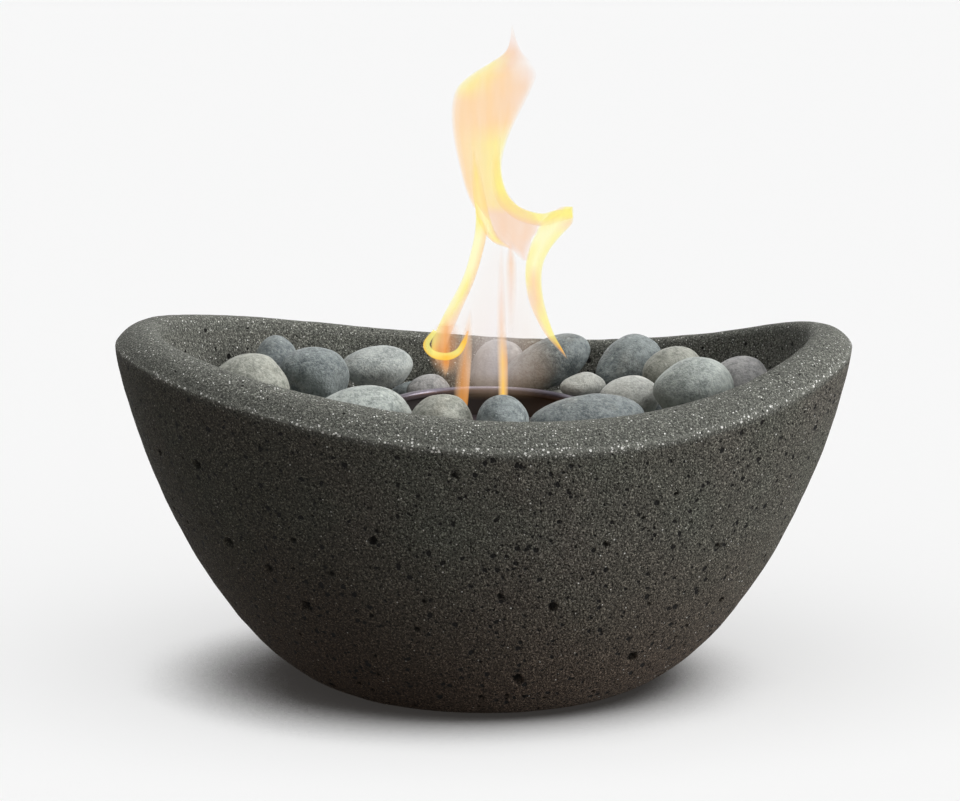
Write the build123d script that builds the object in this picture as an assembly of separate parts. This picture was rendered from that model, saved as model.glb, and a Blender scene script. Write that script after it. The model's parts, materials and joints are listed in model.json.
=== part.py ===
from build123d import *
import math
import os

import numpy as np

# A tabletop fire pit: a boat-shaped bowl of cast concrete with a waved rim, a well in its middle that
# holds a lift-out can of gel fuel, a bed of river stones round the can, and the flame over the gel.
# Millimetres, +Z up, X along the bowl. The origin is on the table, under the middle of the round base.

# Bowl: overall sizes and the curve of its side
bowl_length = 302.0
bowl_width = 218.0
base_radius = 63.0
flare_power = 1.34
flare_root = 1.73

# Bowl: height of the lip's outer edge over the base, and how its wave climbs to both ends from its low line
end_height = 140.3
right_end_drop = 1.1
wave_depth = 25.9
low_line = 19.0
left_climb = 1.69
right_climb = 2.44

# Bowl: the lip, which arches up from its outer edge to its crest, and the hollow inside
lip_width = 16.8
lip_rise_end = 6.7
lip_rise_side = 10.2
lip_power = 3.6
crest_round = 4.0
bed_height = 88.0
bed_corner = 14.0
floor_thickness = 12.0
well_clearance = 1.2
well_chamfer = 2.0

# Felt pads under the base
pad_radius = 9.0
pad_height = 1.5
pad_inset = 17.0
pad_count = 4

# Fuel can of tinplate: a tube between two rolled seams, with the gel inside
can_radius = 42.0
can_height = 101.0
can_wall = 0.5
seam_height = 3.2
seam_overhang = 0.8
seam_inset = 1.4
panel_drop = 0.4
panel_thickness = 0.6
gel_headspace = 12.0
gel_gap = 0.3

# Flame: each tongue's depth as a share of its width, and the foot's clearance over the gel
tongue_depth = 0.5
veil_depth = 0.14
flame_gap = 0.3

# Flame: its tongues from the top down, as sideways offset, offset to the back, height over the foot
# and half-width
body_rows = [
    (11.4, 0, 167.5, 0.5), (12.4, 0, 156.0, 5.2), (8.8, 0, 148.5, 12.0), (3.2, 0, 139.0, 14.6),
    (-0.6, 0, 124.0, 11.2), (-1.4, 0, 109.0, 8.8), (2.0, 0, 97.0, 8.8), (9.6, 0, 86.0, 8.6),
    (15.6, 0, 75.0, 3.6), (16.6, 0, 66.0, 0.6),
]
hook_rows = [
    (7.8, 0, 105.0, 1.0), (11.0, 0, 96.5, 3.0), (18.0, 0, 91.0, 3.6), (27.0, 0, 90.0, 3.4),
    (36.6, 0, 92.6, 1.2),
]
right_arm_rows = [
    (36.6, 1, 93.0, 1.0), (30.0, 1, 87.5, 4.2), (23.4, 2, 79.5, 4.4), (20.4, 3, 69.0, 4.2),
    (22.0, 4, 58.0, 3.8), (27.0, 5, 45.0, 2.6), (34.4, 6, 31.4, 0.4),
]
left_arm_rows = [
    (-3.0, 0, 110.0, 0.8), (-1.4, -1, 95.0, 2.8), (-1.8, -2, 84.0, 3.0), (-5.6, -3, 70.0, 3.2),
    (-12.4, -4, 53.5, 3.4), (-19.0, -6, 40.0, 2.4), (-21.0, -6, 33.5, 0.6),
]
curl_rows = [
    (-20.0, -6, 43.0, 0.8), (-23.0, -8, 37.6, 1.4), (-19.4, -11, 33.4, 1.6), (-12.6, -12, 32.8, 1.6),
    (-6.2, -6, 40.6, 0.6),
]
strand_rows = [
    [(8.4, -1, 48.0, 0.8), (8.0, -1, 24.0, 1.9), (8.0, -1, 0.2, 2.2)],
    [(-5.4, -1, 46.0, 0.8), (-8.8, -1, 27.0, 2.2), (-10.4, -1, 0.2, 2.4)],
    [(-14.0, -4, 48.0, 0.8), (-15.2, -4, 38.0, 2.0), (-15.4, -4, 24.0, 0.6)],
]
veil_rows = [
    (6.0, 1, 84.0, 4.0), (6.6, 1, 62.0, 14.0), (6.0, 1, 42.0, 20.0), (5.0, 1, 22.0, 21.0),
    (4.5, 1, 2.0, 17.0),
]

# Stones: the clearance that they settle with, and the step of the height map that they settle on
stone_gap = 0.6
map_step = 0.5
stone_taper = 0.14
roll_reach = 4.0
roll_slope = 0.1

# Lower stones, which fill the bed first
lower_stone_count = 21
lower_stone_length = 33.0
lower_stone_width = 26.0
lower_stone_thickness = 20.0

# Upper stones: angle round the can, share of the way from can to wall, length, width, thickness,
# heading, lean (nose up) and roll
upper_stones = [
    (307, 0.52, 49, 30, 22, 4, 4, 0),
    (253, 0.46, 26, 25, 26, 10, 4, 0),
    (276, 0.52, 27, 23, 21, 0, 80, 0),
    (229, 0.54, 44, 28, 28, 8, -3, 0),
    (116, 0.26, 20, 17, 14, 0, 0, 0),
    (43, 0.20, 20, 16, 13, 10, 0, 0),
    (87, 0.78, 27, 22, 24, 20, 34, 0),
    (61, 0.35, 42, 26, 20, -4, 25, 10),
    (129, 0.42, 32, 27, 18, 5, 0, 8),
    (42, 0.62, 33, 26, 24, 30, 28, 0),
    (7, 0.22, 26, 24, 18, 0, 0, 0),
    (162, 0.36, 30, 26, 25, -10, -14, 0),
    (180, 0.65, 35, 29, 31, 20, 2, 0),
    (155, 0.70, 36, 20, 19, 60, 72, 0),
    (352, 0.50, 34, 31, 27, -15, 10, 0),
    (20, 0.60, 27, 25, 24, 10, 0, 0),
    (12, 0.80, 27, 24, 26, -10, 0, 0),
    (200, 0.70, 28, 23, 15, 35, 0, 0),
    (359, 0.92, 22, 18, 13, 80, 0, 0),
    (344, 0.86, 24, 20, 13, 70, 0, 0),
]

# Worked-out sizes
half_length = bowl_length / 2
half_width = bowl_width / 2
low_height = end_height - wave_depth
rim_top = pad_height + end_height + lip_rise_end
bed_level = pad_height + bed_height
well_floor = pad_height + floor_thickness
seam_radius = can_radius + seam_overhang
well_radius = seam_radius + well_clearance
can_inner = can_radius - can_wall
can_top = well_floor + can_height
mouth_radius = can_inner - seam_inset
seam_top = well_floor + seam_height
panel_top = seam_top - panel_drop
gel_level = can_top - gel_headspace
blocked = rim_top + bowl_length
upright = (Align.CENTER, Align.CENTER, Align.MIN)


def outer_axes(z):
    """Half-length and half-width of the bowl's outside at a height over the table."""
    reach = min(max((z - pad_height) / end_height, 0), 1)
    share = (1 - (1 - reach) ** flare_power) ** (1 / flare_root)
    return base_radius + (half_length - base_radius) * share, base_radius + (half_width - base_radius) * share


def inner_axes(z):
    """The same for the hollow inside, with its round corner at the bed."""
    long_axis, short_axis = outer_axes(z - lip_rise_side)
    rise = min(max((z - bed_level) / bed_corner, 0), 1)
    corner = bed_corner * (1 - math.sqrt(1 - (1 - rise) ** 2))
    return long_axis - lip_width - corner, short_axis - lip_width - corner


def rim_height(x):
    """Height of the lip's outer edge over the base: a wave that climbs to both ends from its low line."""
    if x < low_line:
        climb = ((low_line - x) / (low_line + half_length)) ** left_climb
        return low_height + wave_depth * climb
    climb = ((x - low_line) / (half_length - low_line)) ** right_climb
    return low_height + (wave_depth - right_end_drop) * climb


def lip_arch(across):
    """Share of the lip's rise: 0 on its outer edge and 1 on its crest. Further out it runs straight down."""
    if across < 0:
        return lip_power * across
    return 1 - max(1 - across, 0) ** lip_power


def lip_point(angle, across):
    """A point of the lip: across is 0 on its outer edge and 1 on its crest."""
    z = pad_height + low_height
    for _ in range(10):
        long_axis, short_axis = outer_axes(z)
        z = pad_height + rim_height(long_axis * math.cos(angle))
    rise = lip_rise_end + (lip_rise_side - lip_rise_end) * math.sin(angle) ** 2
    x = (long_axis - across * lip_width) * math.cos(angle)
    y = (short_axis - across * lip_width) * math.sin(angle)
    return x, y, z + rise * lip_arch(across)


def lip_ring(across):
    """A closed curve all round the lip."""
    points = [lip_point(2 * math.pi * step / 32, across) for step in range(32)]
    return Wire([Spline(*points, periodic=True).edge()])


def loft_of_ellipses(levels, axes):
    """A smooth solid through ellipses stacked upright, one at each level."""
    return loft([Pos(0, 0, z) * Ellipse(*axes(z)) for z in levels])


def make_bowl():
    """Concrete bowl: the flared blank less its hollow, its well and all that stands over the arched lip."""
    headroom = rim_top + lip_rise_side
    blank_levels = [pad_height + end_height * (step / 9) ** 2 for step in range(10)]
    blank = loft_of_ellipses(blank_levels + [headroom], outer_axes)
    corner_levels = [bed_level + bed_corner * (1 - math.cos(math.radians(step * 22.5))) for step in range(5)]
    wall_levels = list(np.linspace(bed_level + bed_corner, headroom, 6)[1:])
    hollow = loft_of_ellipses(corner_levels + wall_levels, inner_axes)
    well = Pos(0, 0, well_floor) * Cylinder(well_radius, bed_level - well_floor, align=upright)
    flare = Cone(well_radius, well_radius + well_chamfer, well_chamfer, align=upright)
    lip = Shell.make_loft([lip_ring(across) for across in (-0.6, -0.25, 0, 0.08, 0.2, 0.4, 0.7, 1, 1.4)])
    over_lip = extrude(lip.face(), amount=2 * headroom, dir=(0, 0, 1))
    bowl = blank - hollow - well - Pos(0, 0, bed_level - well_chamfer) * flare - over_lip
    crest = bowl.edges().sort_by(SortBy.LENGTH)[-2]
    return fillet(crest, crest_round)


def make_pads():
    """Felt discs stuck to the flat base, which the whole piece stands on."""
    disc = Cylinder(pad_radius, pad_height, align=upright)
    spots = PolarLocations(base_radius - pad_inset, pad_count, start_angle=180 / pad_count)
    return Compound(children=[spot * disc for spot in spots])


def turned(points):
    """A solid turned about the can's axis from a profile of (radius, height) points."""
    profile = make_face(Polyline(*[(radius, 0, z) for radius, z in points], close=True))
    return revolve(profile, Axis.Z)


def make_can_tube():
    """Side wall of the can, between its two seams."""
    high = can_top - seam_height
    return turned([(can_inner, seam_top), (can_radius, seam_top), (can_radius, high), (can_inner, high)])


def make_can_end():
    """Bottom end of the can: a rolled seam round a panel that stands clear of the well's floor."""
    panel = panel_top - panel_thickness
    end = turned([
        (0, panel), (mouth_radius, panel), (mouth_radius, well_floor), (seam_radius, well_floor),
        (seam_radius, seam_top), (mouth_radius, seam_top), (mouth_radius, panel_top), (0, panel_top),
    ])
    roll = end.edges().filter_by(GeomType.CIRCLE).filter_by(lambda edge: edge.radius > can_radius)
    return fillet(roll, seam_overhang * 0.6)


def make_can_rim():
    """Rolled seam round the can's open mouth."""
    low = can_top - seam_height
    rim = turned([(mouth_radius, low), (seam_radius, low), (seam_radius, can_top), (mouth_radius, can_top)])
    roll = rim.edges().filter_by(GeomType.CIRCLE).group_by(Axis.Z)[-1]
    return fillet(roll, (seam_radius - mouth_radius) * 0.4)


def make_gel():
    """Gel fuel: it fills the can from its end panel up to the headspace."""
    foot = mouth_radius - gel_gap
    plug = can_inner - gel_gap
    shoulder = seam_top + gel_gap
    return turned([
        (0, panel_top), (foot, panel_top), (foot, shoulder),
        (plug, shoulder), (plug, gel_level), (0, gel_level),
    ])


def make_tongue(rows, depth):
    """One tongue of the flame: ellipses lofted along its middle line, each square to the line."""
    foot = gel_level + flame_gap
    middles = [Vector(side, back, foot + rise) for side, back, rise, _ in rows]
    sections = []
    for number, (_, _, _, half) in enumerate(rows):
        way = middles[min(number + 1, len(rows) - 1)] - middles[max(number - 1, 0)]
        across = way.cross(Vector(0, 1, 0))
        sections.append(Plane(middles[number], x_dir=across, z_dir=way) * Ellipse(half, half * depth))
    return loft(sections)


def make_flame():
    """Flame: a body that swells over a neck, with a hook, two arms, a curl, strands and a thin veil."""
    flame = make_tongue(veil_rows, veil_depth)
    for rows in [body_rows, hook_rows, right_arm_rows, left_arm_rows, curl_rows, *strand_rows]:
        flame = flame + make_tongue(rows, tongue_depth)
    return flame


def turn_matrix(heading, lean, roll):
    """Rotation of a stone: first its roll about X, then its lean about Y, then its heading about Z."""
    sin_h, cos_h = math.sin(math.radians(heading)), math.cos(math.radians(heading))
    sin_l, cos_l = math.sin(math.radians(lean)), math.cos(math.radians(lean))
    sin_r, cos_r = math.sin(math.radians(roll)), math.cos(math.radians(roll))
    about_x = np.array([[1, 0, 0], [0, cos_r, -sin_r], [0, sin_r, cos_r]])
    about_y = np.array([[cos_l, 0, -sin_l], [0, 1, 0], [sin_l, 0, cos_l]])
    about_z = np.array([[cos_h, -sin_h, 0], [sin_h, cos_h, 0], [0, 0, 1]])
    return about_z @ about_y @ about_x


def stone_heights(size, turn, margin):
    """Underside and top of a turned stone, grown by a margin, over a square patch of the height map."""
    half = np.array(size) / 2 + margin
    reach = math.ceil(half[0] / map_step)
    ticks = np.arange(-reach, reach + 1) * map_step
    levels = np.arange(-half[0], half[0], map_step / 5)
    x, y, z = np.meshgrid(ticks, ticks, levels, indexing="ij")
    local = np.einsum("ji,j...->i...", turn, np.stack([x, y, z]))
    along, across, up = (local[axis] / half[axis] for axis in range(3))
    egg = np.clip(1 - along**2, 0, None) * (1 + stone_taper * along) ** 2
    inside = across**2 + up**2 < egg
    filled = inside.any(axis=2)
    under = np.where(filled, levels[inside.argmax(axis=2)], np.inf)
    over = np.where(filled, levels[len(levels) - 1 - inside[:, :, ::-1].argmax(axis=2)], -np.inf)
    return under, over


def empty_bed():
    """Height map of the hollow: the bed and the wall up to its crest, with the can's way up kept free."""
    reach_x = math.ceil(half_length / map_step)
    reach_y = math.ceil(half_width / map_step)
    ticks_x = np.arange(-reach_x, reach_x + 1) * map_step
    ticks_y = np.arange(-reach_y, reach_y + 1) * map_step
    x, y = np.meshgrid(ticks_x, ticks_y, indexing="ij")
    ground = np.full(x.shape, blocked)
    for z in [*np.arange(rim_top, bed_level, -map_step / 5), bed_level]:
        long_axis, short_axis = inner_axes(z)
        ground[(x / long_axis) ** 2 + (y / short_axis) ** 2 < 1] = z
    crests = [pad_height + rim_height(tick) + lip_rise_end for tick in ticks_x]
    ground[ground > np.array(crests)[:, None]] = blocked
    ground[np.hypot(x, y) < seam_radius + stone_gap] = blocked
    return ground


def patch_of(ground, column, row, reach):
    """The square of the map round one of its points."""
    return ground[column - reach:column + reach + 1, row - reach:row + reach + 1]


def rest_height(ground, under, column, row):
    """Height at which a stone comes to rest over one point of the map."""
    patch = patch_of(ground, column, row, under.shape[0] // 2)
    if patch.shape != under.shape:
        return blocked
    return np.max(patch - under)


def spots_near(ground, x, y, reach, stride):
    """Points of the map within reach of a place, each with its distance from there."""
    column = round(x / map_step) + ground.shape[0] // 2
    row = round(y / map_step) + ground.shape[1] // 2
    steps = range(-int(reach / map_step), int(reach / map_step) + 1, stride)
    found = [(math.hypot(i, j) * map_step, column + i, row + j) for i in steps for j in steps]
    return [spot for spot in sorted(found) if spot[0] <= reach and min(spot) >= 0]


def settle(ground, size, turn, spots):
    """Rolls a stone to the lowest of the given spots, as far as the fall is worth the way, and piles it on
    the map. Gives the stone's middle, or nothing where every spot is blocked."""
    under, _ = stone_heights(size, turn, stone_gap)
    _, over = stone_heights(size, turn, 0)
    heights = [rest_height(ground, under, column, row) for _, column, row in spots]
    costs = [height + roll_slope * spot[0] for height, spot in zip(heights, spots)]
    best = int(np.argmin(costs))
    if heights[best] > rim_top + bowl_length / 2:
        return None
    _, column, row = spots[best]
    patch = patch_of(ground, column, row, over.shape[0] // 2)
    np.maximum(patch, heights[best] + over, out=patch)
    x = (column - ground.shape[0] // 2) * map_step
    y = (row - ground.shape[1] // 2) * map_step
    return x, y, heights[best]


def make_stone(size, turn_angles, place):
    """River stone: ellipses lofted along an egg's outline, with a small worn flat at each end."""
    length, width, thickness = size
    heading, lean, roll = turn_angles
    sections = []
    for degrees in (172, 158, 138, 115, 90, 65, 42, 22, 8):
        along = math.cos(math.radians(degrees))
        girth = math.sin(math.radians(degrees)) * (1 + stone_taper * along)
        section = Ellipse(girth * width / 2, girth * thickness / 2)
        sections.append(Plane.YZ.offset(along * length / 2) * section)
    stone = loft(sections).rotate(Axis.X, roll).rotate(Axis.Y, -lean).rotate(Axis.Z, heading)
    return Pos(*place) * stone


def make_lower_stones(ground):
    """Stones that fill the bed, each at the lowest place left, nearest the can first."""
    stones = {}
    everywhere = spots_near(ground, 0, 0, half_length, 6)
    for number in range(lower_stone_count):
        swing = math.sin(2.4 * number)
        grow = 1 + 0.12 * swing
        size = (lower_stone_length * grow, lower_stone_width * (2 - grow), lower_stone_thickness * grow)
        angles = (137.5 * number % 360, 6 * swing, 0)
        place = settle(ground, size, turn_matrix(*angles), everywhere)
        stones[f"lower_stone_{number + 1:02d}"] = make_stone(size, angles, place)
    return stones


def make_upper_stones(ground):
    """Stones laid by hand on the lower ones. One that finds no room looks for it further off."""
    stones = {}
    long_axis, short_axis = inner_axes(pad_height + low_height)
    for number, (around, share, length, width, thickness, *angles) in enumerate(upper_stones):
        direction = math.radians(around)
        wall = 1 / math.hypot(math.cos(direction) / long_axis, math.sin(direction) / short_axis)
        distance = seam_radius + share * (wall - seam_radius)
        x = distance * math.cos(direction)
        y = distance * math.sin(direction)
        size = (length, width, thickness)
        reach = roll_reach
        place = None
        while place is None:
            place = settle(ground, size, turn_matrix(*angles), spots_near(ground, x, y, reach, 2))
            reach += roll_reach
        stones[f"upper_stone_{number + 1:02d}"] = make_stone(size, angles, place)
    return stones


pieces = {
    "concrete_bowl": make_bowl(),
    "felt_pads": make_pads(),
    "can_tube": make_can_tube(),
    "can_end": make_can_end(),
    "can_rim": make_can_rim(),
    "fuel_gel": make_gel(),
    "flame": make_flame(),
}
height_map = empty_bed()
pieces.update(make_lower_stones(height_map))
pieces.update(make_upper_stones(height_map))

os.makedirs("parts", exist_ok=True)
for name, piece in pieces.items():
    export_step(piece, f"parts/{name}.step")
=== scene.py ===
import json
import math

import bmesh
import bpy
import numpy as np
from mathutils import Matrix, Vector, kdtree, noise
from mathutils.bvhtree import BVHTree


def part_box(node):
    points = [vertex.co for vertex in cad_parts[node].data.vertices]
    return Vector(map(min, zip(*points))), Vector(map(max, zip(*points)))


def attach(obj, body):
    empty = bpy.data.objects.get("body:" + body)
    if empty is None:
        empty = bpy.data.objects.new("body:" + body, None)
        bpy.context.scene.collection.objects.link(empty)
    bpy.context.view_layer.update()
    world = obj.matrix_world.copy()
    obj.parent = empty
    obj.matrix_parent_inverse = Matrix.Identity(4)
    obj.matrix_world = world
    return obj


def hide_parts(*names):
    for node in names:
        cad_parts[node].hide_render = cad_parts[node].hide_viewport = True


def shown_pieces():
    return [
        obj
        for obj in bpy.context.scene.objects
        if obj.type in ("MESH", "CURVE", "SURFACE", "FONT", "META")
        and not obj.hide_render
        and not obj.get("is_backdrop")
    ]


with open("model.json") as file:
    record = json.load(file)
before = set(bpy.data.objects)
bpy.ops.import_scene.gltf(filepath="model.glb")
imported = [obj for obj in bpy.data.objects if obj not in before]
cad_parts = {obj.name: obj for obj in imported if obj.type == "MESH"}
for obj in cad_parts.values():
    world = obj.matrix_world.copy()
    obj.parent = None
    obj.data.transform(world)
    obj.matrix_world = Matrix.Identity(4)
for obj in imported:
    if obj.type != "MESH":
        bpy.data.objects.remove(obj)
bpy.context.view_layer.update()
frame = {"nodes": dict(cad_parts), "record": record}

# Concrete bowl: one casting of dark porous concrete with light sand in it, left rough from its mould. It
# flares from a round base to a waved elliptical rim. Its lip arches from a worn, sandy outer edge to a soft
# crest, and inside are a ledge for the stones and a round well for the can.
base_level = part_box("concrete_bowl")[0].z
base_radius = 0.063
half_length = 0.151
half_width = 0.109
flare_power = 1.34
flare_root = 1.73
end_height = 0.1403
right_end_drop = 0.0011
wave_depth = 0.0259
low_line = 0.019
left_climb = 1.69
right_climb = 2.44
lip_width = 0.0168
lip_rise_end = 0.0067
lip_rise_side = 0.0102
lip_power = 3.6
crest_round = 0.004
edge_round = 0.0006
bed_level = base_level + 0.088
bed_corner = 0.014
well_floor = base_level + 0.012
well_radius = 0.044
well_chamfer = 0.002

# How finely the casting is drawn: points round it, and rings up its wall, over its lip and into its well
bowl_around = 480
wall_rings = 104
wall_crowding = 1.5
edge_rings = 5
edge_reach = 2
lip_rings = 16
lip_stop = 0.87
crest_rings = 9
hollow_rings = 24
hollow_start = 0.13
bed_rings = 7
well_rings = 10

# Wear, air holes and colours of the casting. A large hole is its angle round the bowl, height and radius.
full_wear = 1.0
lip_wear = 0.45
slight_wear = 0.3
cast_wobble = 0.0003
base_flat = 0.0005
large_pits = [
    (251, 0.0779, 0.0020), (227, 0.0611, 0.0019), (218, 0.0693, 0.0022), (233, 0.0463, 0.0022),
    (283, 0.0505, 0.0022), (306, 0.0241, 0.0024), (278, 0.0182, 0.0024), (217, 0.1009, 0.0020),
    (291, 0.0760, 0.0014), (327, 0.0428, 0.0017), (204, 0.1021, 0.0014), (356, 0.0505, 0.0016),
]
pit_count = 230
pit_seed = 11
pit_least = 0.0006
pit_range = 0.0010
pit_margin = 2.2
pit_ragged = 0.45
pit_grain = 700
pit_depth = 0.9
cement_dark = (0.007, 0.007, 0.0066, 1)
cement_light = (0.148, 0.148, 0.140, 1)
cement_worn = (0.28, 0.28, 0.268, 1)
salt_tone = (0.34, 0.34, 0.32, 1)
sand_tone = (0.72, 0.72, 0.69, 1)
# Painted shade: the near-black laid inside the pores and pits
pore_shade_tone = (0.004, 0.0035, 0.003, 1)
green_tint = (0.97, 1.0, 0.88, 1)
brown_tint = (1.0, 0.93, 0.84, 1)
# Painted shade and warm light bounced up from the table, laid on low down on the wall
low_painted_shade_tint = (0.72, 0.55, 0.45, 1)
lip_tint = (0.98, 1.0, 0.93, 1)


def wall_axes(z):
    """Half-length and half-width of the bowl's outside at a height."""
    reach = np.clip((z - base_level) / end_height, 0, 1)
    share = (1 - (1 - reach) ** flare_power) ** (1 / flare_root)
    long_axis = base_radius + (half_length - base_radius) * share
    short_axis = base_radius + (half_width - base_radius) * share
    return long_axis, short_axis


def hollow_axes(z):
    """The same for the hollow, with its round corner at the bed."""
    long_axis, short_axis = wall_axes(z - lip_rise_side)
    rise = np.clip((z - bed_level) / bed_corner, 0, 1)
    corner = bed_corner * (1 - np.sqrt(1 - (1 - rise) ** 2))
    return long_axis - lip_width - corner, short_axis - lip_width - corner


def rim_height(x):
    """Height of the lip's outer edge over the base."""
    left = np.clip((low_line - x) / (low_line + half_length), 0, None) ** left_climb
    right = np.clip((x - low_line) / (half_length - low_line), 0, None) ** right_climb
    return end_height - wave_depth + wave_depth * left + (wave_depth - right_end_drop) * right


def ring_of(axes, z):
    """Points round an ellipse, one for each of the bowl's meridians."""
    heights = np.broadcast_to(z, turns.shape)
    return np.stack([axes[0] * np.cos(turns), axes[1] * np.sin(turns), heights], axis=1)


def along(start, end):
    """Unit directions from one ring of points to another."""
    step = end - start
    return step / np.linalg.norm(step, axis=1, keepdims=True)


def rounded(before, corner, after, radius, count):
    """Rings that round a corner between two neighbouring rings."""
    first = corner - along(before, corner) * radius
    last = corner + along(corner, after) * radius
    shares = np.linspace(0, 1, count)
    return [first * (1 - t) ** 2 + corner * 2 * t * (1 - t) + last * t**2 for t in shares]


def mesh_of_rings(name, rings):
    """A closed skin through rings of points, with a fan at each end."""
    around = len(rings[0])
    points = [rings[0].mean(axis=0), *np.concatenate(rings), rings[-1].mean(axis=0)]
    faces = [(0, 1 + (j + 1) % around, 1 + j) for j in range(around)]
    for i in range(len(rings) - 1):
        low = 1 + i * around
        high = low + around
        for j in range(around):
            k = (j + 1) % around
            faces.append((low + j, low + k, high + k, high + j))
    top = len(points) - 1
    high = top - around
    faces += [(top, high + j, high + (j + 1) % around) for j in range(around)]
    mesh = bpy.data.meshes.new(name)
    mesh.from_pydata([tuple(point) for point in points], [], faces)
    mesh.shade_smooth()
    return mesh


def piece_of(mesh, body, slot, *nodes):
    """A shown piece with this mesh, riding on a body in place of its nodes."""
    piece = bpy.data.objects.new(mesh.name, mesh)
    bpy.context.scene.collection.objects.link(piece)
    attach(piece, body)
    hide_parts(*nodes)
    return piece


turns = np.linspace(0, 2 * math.pi, bowl_around, endpoint=False)
edge_level = np.full(bowl_around, base_level + end_height - wave_depth)
for _ in range(10):
    edge_level = base_level + rim_height(wall_axes(edge_level)[0] * np.cos(turns))
edge_ring = ring_of(wall_axes(edge_level), edge_level)
lip_rise = lip_rise_end + (lip_rise_side - lip_rise_end) * np.sin(turns) ** 2
crest_level = edge_level + lip_rise
crest_ring = ring_of(hollow_axes(crest_level), crest_level)
under = [ring_of((base_radius * share,) * 2, base_level) for share in (0.2, 0.5, 0.8, 0.95)]
wall = []
for share in (np.arange(wall_rings) / wall_rings) ** wall_crowding:
    level = base_level + (edge_level - base_level) * share
    wall.append(ring_of(wall_axes(level), level))
lip = []
for share in np.linspace(0, lip_stop, lip_rings + 1)[1:] ** 2:
    ring = edge_ring + (crest_ring - edge_ring) * share
    ring[:, 2] = edge_level + lip_rise * (1 - (1 - share) ** lip_power)
    lip.append(ring)
hollow = []
for share in np.linspace(hollow_start, 1, hollow_rings):
    level = crest_level + (bed_level - crest_level) * share
    hollow.append(ring_of(hollow_axes(level), level))
edge = rounded(wall[-1], edge_ring, lip[edge_reach], edge_round, edge_rings)
crest = rounded(lip[-1], crest_ring, hollow[0], crest_round, crest_rings)
well_mouth = ring_of((well_radius + well_chamfer,) * 2, bed_level)
bed_shares = np.linspace(0, 1, bed_rings + 1)[1:]
bed = [hollow[-1] + (well_mouth - hollow[-1]) * share for share in bed_shares]
well_levels = np.linspace(bed_level - well_chamfer, well_floor, well_rings)
well = [ring_of((well_radius,) * 2, level) for level in well_levels]
well_bottom = [ring_of((well_radius * share,) * 2, well_floor) for share in (0.8, 0.5, 0.2)]
lip = lip[edge_reach:]
bowl_rings = under + wall + edge + lip + crest + hollow + bed + well + well_bottom
bowl_mesh = mesh_of_rings("concrete_bowl_cast", bowl_rings)

# Wear, read by the concrete: full along the lip's outer edge, some on the lip and little in the hollow
wear = np.zeros((len(bowl_rings), bowl_around))
edge_start = len(under) + len(wall)
lip_start = edge_start + len(edge)
lip_end = lip_start + len(lip) + len(crest)
wear[edge_start - 1] = slight_wear
wear[edge_start:lip_start + 2] = full_wear
wear[lip_start + 2:lip_end] = lip_wear
wear[lip_end:lip_end + len(hollow)] = slight_wear
wear_values = np.concatenate([[0.0], wear.ravel(), [0.0]]).astype(np.float32)
bowl_mesh.attributes.new("wear", "FLOAT", "POINT").data.foreach_set("value", wear_values)

# Air holes of the casting: ragged pits of many sizes in the outside, the largest at set places
picks = np.random.default_rng(pit_seed)
bowl_edit = bmesh.new()
bowl_edit.from_mesh(bowl_mesh)
pits = []
for degrees, height, radius in large_pits:
    long_axis, short_axis = wall_axes(base_level + height)
    turn = math.radians(degrees)
    middle = Vector((long_axis * math.cos(turn), short_axis * math.sin(turn), base_level + height))
    pits.append((middle, radius))
for _ in range(pit_count):
    ring = wall[int(wall_rings * (0.06 + 0.9 * picks.random()))]
    middle = Vector(ring[picks.integers(bowl_around)])
    pits.append((middle, pit_least + pit_range * picks.random() ** 3))
pit_tree = kdtree.KDTree(len(pits))
for number, (middle, radius) in enumerate(pits):
    pit_tree.insert(middle, number)
pit_tree.balance()


def pit_near(point, reach):
    """The pit at a point as its middle and ragged radius, or nothing where none reaches the point."""
    middle, number, distance = pit_tree.find(point)
    radius = pits[number][1] * (1 + pit_ragged * noise.noise(point * pit_grain))
    return (middle, radius) if distance < radius * reach else None


near_pits = [side for side in bowl_edit.edges if any(pit_near(vert.co, pit_margin) for vert in side.verts)]
bmesh.ops.subdivide_edges(bowl_edit, edges=near_pits, cuts=2, use_grid_fill=True)
bowl_edit.normal_update()
# The pit value marks where each pit is painted dark as the shade inside it
pit_layer = bowl_edit.verts.layers.float.new("pit")
moves = []
for vert in bowl_edit.verts:
    wobble = cast_wobble * (noise.noise(vert.co * 45) + 0.5 * noise.noise(vert.co * 150))
    found = pit_near(vert.co, 1.0)
    if found:
        share = (vert.co - found[0]).length / found[1]
        vert[pit_layer] = 1 - share**3
        wobble -= pit_depth * found[1] * math.sqrt(1 - share**2)
    moves.append(vert.normal * wobble)
for vert, move in zip(bowl_edit.verts, moves):
    if vert.co.z > base_level + base_flat:
        vert.co += move
bowl_edit.to_mesh(bowl_mesh)
bowl_edit.free()
bowl = piece_of(bowl_mesh, "bowl", "concrete", "concrete_bowl")


def new_material(name):
    """An empty node material with its output, and the place of a point on the object."""
    material = bpy.data.materials.new(name)
    material.use_nodes = True
    material.node_tree.nodes.clear()
    material.node_tree.nodes.new("ShaderNodeOutputMaterial")
    return material, add(material, "TexCoord").outputs["Object"]


def add(material, kind, inputs=None, **settings):
    """One node: sockets given as inputs are linked, and other values are set on the node's own sockets."""
    made = material.node_tree.nodes.new("ShaderNode" + kind)
    for key, value in settings.items():
        setattr(made, key, value)
    for key, value in (inputs or {}).items():
        if isinstance(value, bpy.types.NodeSocket):
            material.node_tree.links.new(value, made.inputs[key])
        else:
            made.inputs[key].default_value = value
    return made


def math_of(material, operation, first, second):
    """The result of one sum."""
    return add(material, "Math", {0: first, 1: second}, operation=operation).outputs[0]


def spread(material, value, low, high, start=0.0, end=1.0):
    """A value mapped from one range to another, and kept within it."""
    inputs = {"Value": value, "From Min": low, "From Max": high, "To Min": start, "To Max": end}
    return add(material, "MapRange", inputs).outputs["Result"]


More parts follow.
